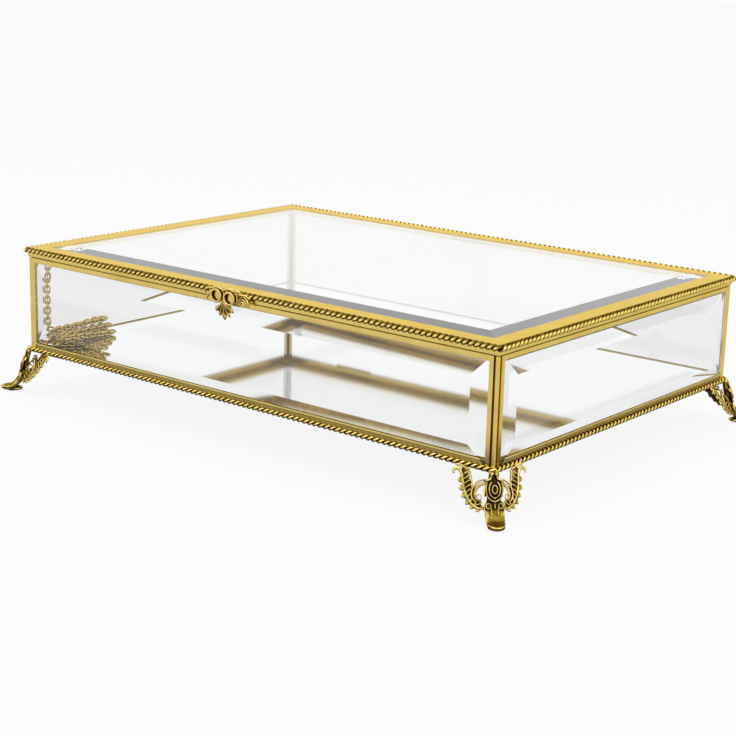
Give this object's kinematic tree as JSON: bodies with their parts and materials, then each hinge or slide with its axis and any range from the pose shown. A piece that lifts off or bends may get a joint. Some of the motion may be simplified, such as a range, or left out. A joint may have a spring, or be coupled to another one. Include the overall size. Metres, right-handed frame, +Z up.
{
  "type": "glass casket box",
  "caption": "Shallow keepsake box of bevelled glass in polished brass cames, with a mirror floor, a hinged glass lid on a stay chain, rope trim and cast cabriole feet.",
  "frame": {"origin": "on the table, under the centre of the box", "axes": "+X to the right along the front, +Y to the back, +Z up; the front with the clasp faces -Y"},
  "size_m": [0.3252, 0.2332, 0.0796],
  "materials": {
    "clear_glass": "polished clear plate glass with ground bevels",
    "floor_mirror": "silvered mirror glass",
    "polished_brass": "polished, lacquered",
    "rope_brass": "polished, dark in the grooves",
    "cast_brass": "antique casting, dark in the recesses and bright on the edges",
    "hinge_brass": "satin",
    "chain_brass": "satin"
  },
  "bodies": {
    "casket": {"mirror_base": "floor_mirror", "ledge_front": "polished_brass", "ledge_right": "polished_brass", "ledge_back": "polished_brass", "ledge_left": "polished_brass", "front_glass": "clear_glass", "right_glass": "clear_glass", "back_glass": "clear_glass", "left_glass": "clear_glass", "front_bottom_came": "polished_brass", "front_top_came": "polished_brass", "front_left_came": "polished_brass", "front_right_came": "polished_brass", "right_bottom_came": "polished_brass", "right_top_came": "polished_brass", "right_front_came": "polished_brass", "right_back_came": "polished_brass", "back_bottom_came": "polished_brass", "back_top_came": "polished_brass", "back_right_came": "polished_brass", "back_left_came": "polished_brass", "left_bottom_came": "polished_brass", "left_top_came": "polished_brass", "left_back_came": "polished_brass", "left_front_came": "polished_brass", "corner_bead_front_left": "polished_brass", "corner_bead_front_right": "polished_brass", "corner_bead_back_right": "polished_brass", "corner_bead_back_left": "polished_brass", "foot_front_left": "cast_brass", "foot_front_right": "cast_brass", "foot_back_right": "cast_brass", "foot_back_left": "cast_brass", "base_rope": "rope_brass", "left_hinge_body_leaf": "hinge_brass", "left_hinge_pin": "hinge_brass", "right_hinge_body_leaf": "hinge_brass", "right_hinge_pin": "hinge_brass", "chain_box_eyelet": "chain_brass"},
    "lid": {"lid_glass": "clear_glass", "lid_rope": "rope_brass", "lid_front_came": "polished_brass", "lid_right_came": "polished_brass", "lid_back_came": "polished_brass", "lid_left_came": "polished_brass", "clasp": "cast_brass", "left_hinge_lid_leaf": "hinge_brass", "right_hinge_lid_leaf": "hinge_brass", "chain_lid_eyelet": "chain_brass"},
    "chain_run_1": {"chain_run_1": "chain_brass"},
    "chain_run_2": {"chain_run_2": "chain_brass"},
    "chain_run_3": {"chain_run_3": "chain_brass"},
    "chain_run_4": {"chain_run_4": "chain_brass"},
    "chain_run_5": {"chain_run_5": "chain_brass"},
    "chain_run_6": {"chain_run_6": "chain_brass"},
    "chain_run_7": {"chain_run_7": "chain_brass"},
    "chain_run_8": {"chain_run_8": "chain_brass"},
    "chain_strand": {"chain_strand": "chain_brass"}
  },
  "joints": [
    {"name": "lid_hinge", "type": "hinge", "parent": "casket", "child": "lid", "pos_m": [0, 0.1058, 0.072], "axis": [-1, 0, 0], "range_deg": [0, 95]},
    {"name": "chain_fold_1", "type": "hinge", "parent": "casket", "child": "chain_run_1", "pos_m": [-0.1412, -0.097, 0.02824], "axis": [1, 0, 0], "range_deg": [0, 48.71]},
    {"name": "chain_fold_2", "type": "hinge", "parent": "chain_run_1", "child": "chain_run_2", "pos_m": [-0.13901, -0.06036, 0.02824], "axis": [1, 0, 0], "range_deg": [-180.5, 0]},
    {"name": "chain_fold_3", "type": "hinge", "parent": "chain_run_2", "child": "chain_run_3", "pos_m": [-0.13523, -0.097, 0.02824], "axis": [1, 0, 0], "range_deg": [0, 180.5]},
    {"name": "chain_fold_4", "type": "hinge", "parent": "chain_run_3", "child": "chain_run_4", "pos_m": [-0.13205, -0.06036, 0.02824], "axis": [1, 0, 0], "range_deg": [-175.52, 0]},
    {"name": "chain_fold_5", "type": "hinge", "parent": "chain_run_4", "child": "chain_run_5", "pos_m": [-0.13205, -0.09686, 0.03142], "axis": [1, 0, 0], "range_deg": [0, 175.52]},
    {"name": "chain_lid_link", "type": "hinge", "parent": "lid", "child": "chain_strand", "pos_m": [-0.1412, -0.097, 0.07124], "axis": [1, 0, 0], "range_deg": [0, 53.71]},
    {"name": "chain_fold_8", "type": "hinge", "parent": "chain_strand", "child": "chain_run_8", "pos_m": [-0.13901, -0.097, 0.0346], "axis": [1, 0, 0], "range_deg": [-90.5, 0]},
    {"name": "chain_fold_7", "type": "hinge", "parent": "chain_run_8", "child": "chain_run_7", "pos_m": [-0.13901, -0.06036, 0.0346], "axis": [1, 0, 0], "range_deg": [0, 175.52]},
    {"name": "chain_fold_6", "type": "hinge", "parent": "chain_run_7", "child": "chain_run_6", "pos_m": [-0.13901, -0.09686, 0.03142], "axis": [1, 0, 0], "range_deg": [-175.52, 0]}
  ],
  "couplings": [
    {"joint": "chain_fold_1", "follows": "lid_hinge", "ratio": 0.50751},
    {"joint": "chain_fold_2", "follows": "lid_hinge", "ratio": -1.8947},
    {"joint": "chain_fold_3", "follows": "lid_hinge", "ratio": 1.8947},
    {"joint": "chain_fold_4", "follows": "lid_hinge", "ratio": -1.8423},
    {"joint": "chain_fold_5", "follows": "lid_hinge", "ratio": 1.8423},
    {"joint": "chain_lid_link", "follows": "lid_hinge", "ratio": 0.56014},
    {"joint": "chain_fold_8", "follows": "lid_hinge", "ratio": -0.94737},
    {"joint": "chain_fold_7", "follows": "lid_hinge", "ratio": 1.8423},
    {"joint": "chain_fold_6", "follows": "lid_hinge", "ratio": -1.8423}
  ]
}
